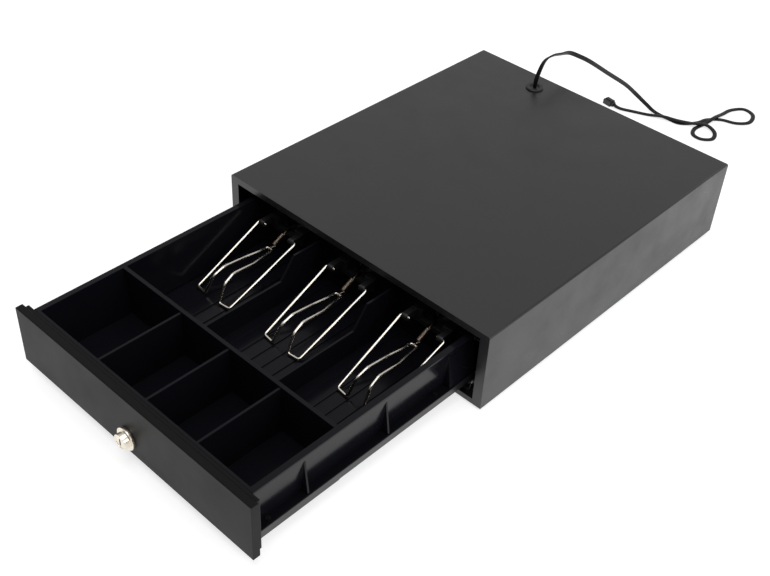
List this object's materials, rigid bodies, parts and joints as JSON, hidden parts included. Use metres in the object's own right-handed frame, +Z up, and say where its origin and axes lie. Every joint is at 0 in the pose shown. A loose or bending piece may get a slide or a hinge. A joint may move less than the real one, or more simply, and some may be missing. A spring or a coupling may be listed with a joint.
{
  "type": "cash drawer",
  "caption": "Steel cash drawer shown open, with a moulded till tray of coin cups and note bays, sprung wire note clips, a key lock and a trailing flat cable.",
  "frame": {"origin": "on the surface it stands on, under the middle of the open drawer and case, without the free cable", "axes": "+Z up, +Y towards the back of the case, -Y the way the drawer opens, +X to the right seen from the front"},
  "size_m": [0.35, 0.9651, 0.1274],
  "materials": {
    "case_paint": "satin",
    "panel_gloss": "gloss",
    "runner_paint": "satin",
    "zinc_steel": "satin",
    "screw_steel": "satin",
    "screw_black": "satin",
    "spring_steel": "satin",
    "clip_wire": "polished",
    "lock_nickel": "satin",
    "tray_plastic": "matt",
    "switch_plastic": "matt",
    "button_plastic": "matt",
    "roller_nylon": "matt",
    "cable_sheath": "semi-gloss",
    "coil_tape": "matt",
    "rubber": "matt"
  },
  "bodies": {
    "case": {"case_cover": "case_paint", "base_plate": "case_paint", "rear_panel": "case_paint", "rear_screws": "screw_steel", "cover_screws": "screw_steel", "rubber_feet": "rubber", "foot_screws": "screw_steel", "rail_left": "zinc_steel", "rail_right": "zinc_steel", "roller_brackets": "zinc_steel", "roller_pins": "screw_steel", "lock_keeper": "zinc_steel", "latch_bracket": "zinc_steel", "latch_pin": "screw_steel", "solenoid_frame": "zinc_steel", "solenoid_coil": "coil_tape", "plunger_spring": "spring_steel", "kicker_post": "screw_steel", "kicker_spring": "spring_steel", "drawer_switch": "switch_plastic", "inner_lead": "cable_sheath", "cable_grommet": "rubber", "cable": "cable_sheath", "cable_plug": "switch_plastic"},
    "drawer": {"front_panel": "panel_gloss", "panel_backing": "panel_gloss", "till_tray": "tray_plastic", "runner_left": "runner_paint", "runner_right": "runner_paint", "runner_screws": "screw_black", "rear_tie": "zinc_steel", "tie_screws": "screw_steel", "rear_roller_pins": "screw_steel", "lock_housing": "lock_nickel", "lock_nut": "screw_steel", "clip_bracket_left": "switch_plastic", "clip_bracket_middle": "switch_plastic", "clip_bracket_right": "switch_plastic"},
    "front_roller_left": {"front_roller_left": "roller_nylon"},
    "front_roller_right": {"front_roller_right": "roller_nylon"},
    "rear_roller_left": {"rear_roller_left": "roller_nylon"},
    "rear_roller_right": {"rear_roller_right": "roller_nylon"},
    "lock_cylinder": {"lock_cylinder": "lock_nickel", "lock_cam": "zinc_steel", "cam_screw": "screw_steel"},
    "latch_lever": {"latch_lever": "zinc_steel"},
    "solenoid_plunger": {"solenoid_plunger": "screw_steel"},
    "kicker_arm": {"kicker_arm": "zinc_steel"},
    "switch_button": {"switch_button": "button_plastic"},
    "note_clip_left": {"note_clip_left": "clip_wire"},
    "note_clip_middle": {"note_clip_middle": "clip_wire"},
    "note_clip_right": {"note_clip_right": "clip_wire"},
    "clip_spring_left": {"clip_spring_left": "spring_steel"},
    "clip_spring_middle": {"clip_spring_middle": "spring_steel"},
    "clip_spring_right": {"clip_spring_right": "spring_steel"}
  },
  "joints": [
    {"name": "drawer_slide", "type": "slide", "parent": "case", "child": "drawer", "axis": [0, -1, 0], "range_m": [-0.268, 0]},
    {"name": "front_roller_left_spin", "type": "hinge", "parent": "case", "child": "front_roller_left", "pos_m": [-0.147, -0.0505, 0.0118], "axis": [1, 0, 0], "range_deg": [-3520, 0]},
    {"name": "front_roller_right_spin", "type": "hinge", "parent": "case", "child": "front_roller_right", "pos_m": [0.147, -0.0505, 0.0118], "axis": [1, 0, 0], "range_deg": [-3520, 0]},
    {"name": "rear_roller_left_spin", "type": "hinge", "parent": "drawer", "child": "rear_roller_left", "pos_m": [-0.157, -0.0045, 0.0205], "axis": [1, 0, 0], "range_deg": [-2210, 0]},
    {"name": "rear_roller_right_spin", "type": "hinge", "parent": "drawer", "child": "rear_roller_right", "pos_m": [0.157, -0.0045, 0.0205], "axis": [1, 0, 0], "range_deg": [-2210, 0]},
    {"name": "lock_turn", "type": "hinge", "parent": "drawer", "child": "lock_cylinder", "pos_m": [0, -0.3345, 0.0296], "axis": [0, 1, 0], "range_deg": [0, 90]},
    {"name": "latch_release", "type": "hinge", "parent": "case", "child": "latch_lever", "pos_m": [0, 0.3055, 0.033], "axis": [-1, 0, 0], "range_deg": [0, 10]},
    {"name": "plunger_pull", "type": "slide", "parent": "case", "child": "solenoid_plunger", "axis": [0, 0, -1], "range_m": [0, 0.003], "deforming": ["plunger_spring"]},
    {"name": "kicker_swing", "type": "hinge", "parent": "case", "child": "kicker_arm", "pos_m": [0.06, 0.3185, 0.033], "axis": [0, 0, -1], "range_deg": [0, 24.5]},
    {"name": "switch_press", "type": "slide", "parent": "case", "child": "switch_button", "axis": [0, 1, 0], "range_m": [0, 0.0025]},
    {"name": "note_clip_left_lift", "type": "hinge", "parent": "drawer", "child": "note_clip_left", "pos_m": [-0.1008, -0.0695, 0.0593], "axis": [-1, 0, 0], "range_deg": [0, 85], "stiffness_Nm_per_rad": 0.05},
    {"name": "clip_spring_left_swing", "type": "hinge", "parent": "note_clip_left", "child": "clip_spring_left", "pos_m": [-0.1008, -0.08, 0.0431], "axis": [-1, 0, 0], "range_deg": [-38.5, 0]},
    {"name": "note_clip_middle_lift", "type": "hinge", "parent": "drawer", "child": "note_clip_middle", "pos_m": [0, -0.0695, 0.0593], "axis": [-1, 0, 0], "range_deg": [0, 85], "stiffness_Nm_per_rad": 0.05},
    {"name": "clip_spring_middle_swing", "type": "hinge", "parent": "note_clip_middle", "child": "clip_spring_middle", "pos_m": [0, -0.08, 0.0431], "axis": [-1, 0, 0], "range_deg": [-38.5, 0]},
    {"name": "note_clip_right_lift", "type": "hinge", "parent": "drawer", "child": "note_clip_right", "pos_m": [0.1008, -0.0695, 0.0593], "axis": [-1, 0, 0], "range_deg": [0, 85], "stiffness_Nm_per_rad": 0.05},
    {"name": "clip_spring_right_swing", "type": "hinge", "parent": "note_clip_right", "child": "clip_spring_right", "pos_m": [0.1008, -0.08, 0.0431], "axis": [-1, 0, 0], "range_deg": [-38.5, 0]}
  ],
  "couplings": [
    {"joint": "front_roller_left_spin", "follows": "drawer_slide", "rad_per_m": 227.27},
    {"joint": "front_roller_right_spin", "follows": "drawer_slide", "rad_per_m": 227.27},
    {"joint": "rear_roller_left_spin", "follows": "drawer_slide", "rad_per_m": 142.86},
    {"joint": "rear_roller_right_spin", "follows": "drawer_slide", "rad_per_m": 142.86},
    {"joint": "kicker_swing", "follows": "drawer_slide", "rad_per_m": -1.563},
    {"joint": "switch_press", "follows": "drawer_slide", "ratio": -0.00821},
    {"joint": "plunger_pull", "follows": "latch_release", "m_per_rad": 0.016},
    {"joint": "clip_spring_left_swing", "follows": "note_clip_left_lift", "ratio": -0.443},
    {"joint": "clip_spring_middle_swing", "follows": "note_clip_middle_lift", "ratio": -0.443},
    {"joint": "clip_spring_right_swing", "follows": "note_clip_right_lift", "ratio": -0.443}
  ]
}
